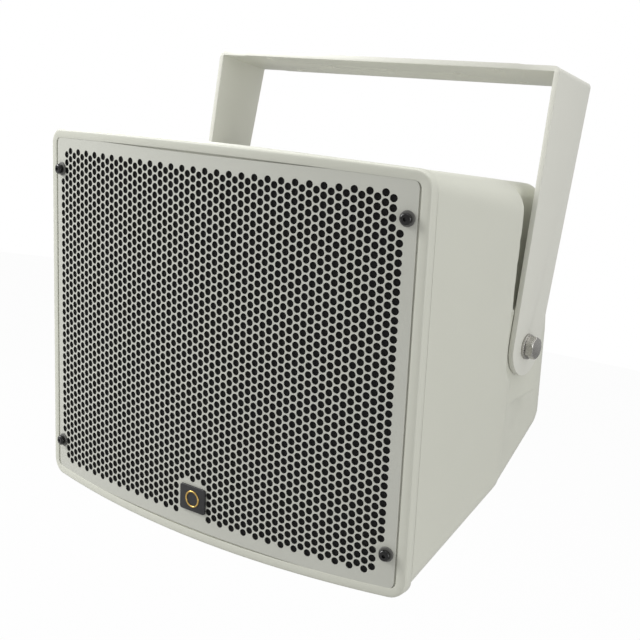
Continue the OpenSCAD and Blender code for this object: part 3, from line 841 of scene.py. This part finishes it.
def input_panel():
    panel = refined("input_panel", "panel_plate", 0.4 * mm)
    return finished(panel, "cabinet", "black_plastic", black_plastic, "input_panel")


def print_bar(x0, x1, z0, z1):
    """A printed bar on the panel; all four are in millimetres."""
    return block("bar", (x0 * mm, panel_y - 0.02 * mm, z0 * mm), (x1 * mm, panel_y + 0.05 * mm, z1 * mm))


def print_box(x0, x1, z0, z1, line=0.35):
    """The outline of a printed box, in millimetres as well."""
    return [
        print_bar(x0, x1, z0, z0 + line), print_bar(x0, x1, z1 - line, z1),
        print_bar(x0, x0 + line, z0, z1), print_bar(x1 - line, x1, z0, z1),
    ]


def panel_print():
    """Plain printed boxes and scale marks round the knob, with no lettering."""
    bars = print_box(-22, -2, 5, 15) + print_box(2, 21, 5, 15) + [print_bar(4, 19, 7, 13)]
    for step in range(6):
        angle = math.radians(-75 + 30 * step)
        mark = print_bar(-0.3, 0.3, 12.5, 15.5)
        spin = Matrix.Rotation(angle, 4, "Y")
        mark.data.transform(Matrix.Translation((0, 0, knob_z)) @ spin)
        bars.append(mark)
    return finished(tipped(joined("panel_print", bars)), "cabinet", "grey_plastic", print_grey)


def terminal_strip():
    strip = refined("terminal_strip", "terminal_block", 0.3 * mm)
    return finished(strip, "cabinet", "black_plastic", black_plastic, "terminal_strip")


def terminal_screws():
    screws = refined("terminal_screws", "pole_screws", 0.25 * mm)
    return finished(screws, "cabinet", "stainless", stainless, "terminal_screws")


def tap_knob():
    knob = refined("tap_knob", "tap_dial", 0.4 * mm)
    return finished(knob, "knob", "knob_plastic", knob_plastic, "tap_knob")


def safety_eye():
    """A steel eye on a round collar, turned to stand across the pocket's wings."""
    collar = bevelled(rod("collar", eye_floor, eye_floor + 1.6 * mm, 11.5 * mm, z=eye_z), 0.4 * mm)
    neck = bevelled(rod("neck", eye_floor + 1.4 * mm, eye_floor + 5 * mm, 8 * mm, z=eye_z), 1.2 * mm)
    shank = rod("shank", eye_floor - 18 * mm, eye_floor + 3 * mm, 4 * mm, z=eye_z)
    deselect()
    ring_y = eye_floor + 19.2 * mm
    bpy.ops.mesh.primitive_torus_add(
        location=(0, ring_y, eye_z), rotation=(0, math.radians(45), 0), major_radius=13.2 * mm,
        minor_radius=4 * mm, major_segments=96, minor_segments=32)
    ring = named("ring")
    eye = tipped(joined("safety_eye", [collar, neck, shank, ring]))
    return finished(eye, "cabinet", "stainless", stainless, "eye_bolt")


def label(shell):
    """A bare label that follows the curve of the back."""
    deselect()
    bpy.ops.mesh.primitive_grid_add(
        x_subdivisions=40, y_subdivisions=16, size=1, location=(0, back_y + 5 * mm, label_z),
        rotation=(math.radians(-90), 0, 0))
    bpy.context.view_layer.objects.active.scale = (label_w, label_h, 1)
    plate = tipped(named("blank_label"))
    modify(plate, "SHRINKWRAP", target=shell, wrap_method="NEAREST_SURFACEPOINT",
           wrap_mode="ABOVE_SURFACE", offset=0.2 * mm)
    modify(plate, "SOLIDIFY", thickness=0.15 * mm, offset=-1)
    return finished(plate, "cabinet", "label", label_film, "label_plate", angle=60)


# Bracket

def bracket():
    obj = refined("bracket", "u_bracket", 0.8 * mm, 3, 35)
    return finished(obj, "bracket", "bracket_paint", bracket_paint, "bracket")


def pivot_bolts():
    """The bolts that the cabinet turns on, and their washers."""
    obj = refined("pivot_bolts", "hex_bolts", 0.3 * mm)
    finished(obj, "cabinet", "stainless", stainless, "pivot_bolts")
    obj = refined("pivot_washers", "flat_washers", 0.3 * mm)
    return finished(obj, "cabinet", "stainless", stainless, "pivot_washers")


# Camera and light

camera_place = Vector((532.2, -821, -157)) * mm
camera_aim = Vector((-33.2, -60.2, -219.5)) * mm
camera_roll = math.radians(9.48)
camera_lens = 63.5
camera_shift = (0.067, -0.018)
floor_size = 12
floor_z = -0.62
floor_white = 0.97
room_light = 0.55


def camera():
    data = bpy.data.cameras.new("camera")
    data.lens = camera_lens
    data.shift_x, data.shift_y = camera_shift
    obj = bpy.data.objects.new("camera", data)
    bpy.context.scene.collection.objects.link(obj)
    look = (camera_aim - camera_place).to_track_quat("-Z", "Y").to_matrix().to_4x4()
    obj.matrix_world = Matrix.Translation(camera_place) @ look @ Matrix.Rotation(camera_roll, 4, "Z")
    bpy.context.scene.camera = obj


def soft_lamp(name, place, aim, size, power):
    data = bpy.data.lights.new(name, "AREA")
    data.shape = "RECTANGLE"
    data.size, data.size_y = size
    data.energy = power
    obj = bpy.data.objects.new(name, data)
    bpy.context.scene.collection.objects.link(obj)
    look = (Vector(aim) - Vector(place)).to_track_quat("-Z", "Y").to_matrix().to_4x4()
    obj.matrix_world = Matrix.Translation(place) @ look


def white_room():
    """A pale room: white where the camera looks, and a plain level of light elsewhere."""
    world = bpy.data.worlds.new("room")
    bpy.context.scene.world = world
    world.use_nodes = True
    tree = world.node_tree
    background = tree.nodes["Background"]
    path = tree.nodes.new("ShaderNodeLightPath")
    seen = Socket(tree, path.outputs["Is Camera Ray"])
    background.inputs["Color"].default_value = rgb(1, 1, 1)
    tree.links.new((seen * (1 - room_light) + room_light).out, background.inputs["Strength"])


def floor():
    """A grey floor that the camera sees as nearly white."""
    deselect()
    bpy.ops.mesh.primitive_plane_add(size=floor_size, location=(0, 0, floor_z))
    obj = bpy.context.view_layer.objects.active
    obj.name = "floor"
    finish = Finish("floor_paint", 0.9)
    finish.put("Base Color", rgb(0.45, 0.45, 0.45))
    white = finish.node("Emission", Color=rgb(1, 1, 1), Strength=1.0)
    seen = finish.node("LightPath") * floor_white
    output = finish.tree.nodes["Material Output"]
    lit = Socket(finish.tree, finish.shader.outputs[0])
    both = finish.node("MixShader", s0=seen, s1=lit, s2=white)
    finish.tree.links.new(both.out, output.inputs["Surface"])
    obj.data.materials.append(finish.material)


def lights():
    soft_lamp("overhead", (0.1, 0.1, 1.5), (0, 0, -0.25), (1.8, 1.8), 21)
    soft_lamp("right_side", (1.8, -0.3, -0.2), (0, 0, -0.25), (1.0, 1.0), 11)
    soft_lamp("front_left", (-1.75, -1.2, 0.7), (0, 0, -0.22), (1.2, 1.2), 48)
    soft_lamp("left_side", (-1.6, 1.0, 0.6), (0, 0, -0.2), (1.0, 1.0), 8)


bpy.context.scene.view_settings.view_transform = "Standard"
dress_nodes()
shell = housing()
grille_panel()
grille_screws()
badge()
input_panel()
panel_print()
terminal_strip()
terminal_screws()
tap_knob()
safety_eye()
label(shell)
bracket()
pivot_bolts()
camera()
white_room()
floor()
lights()
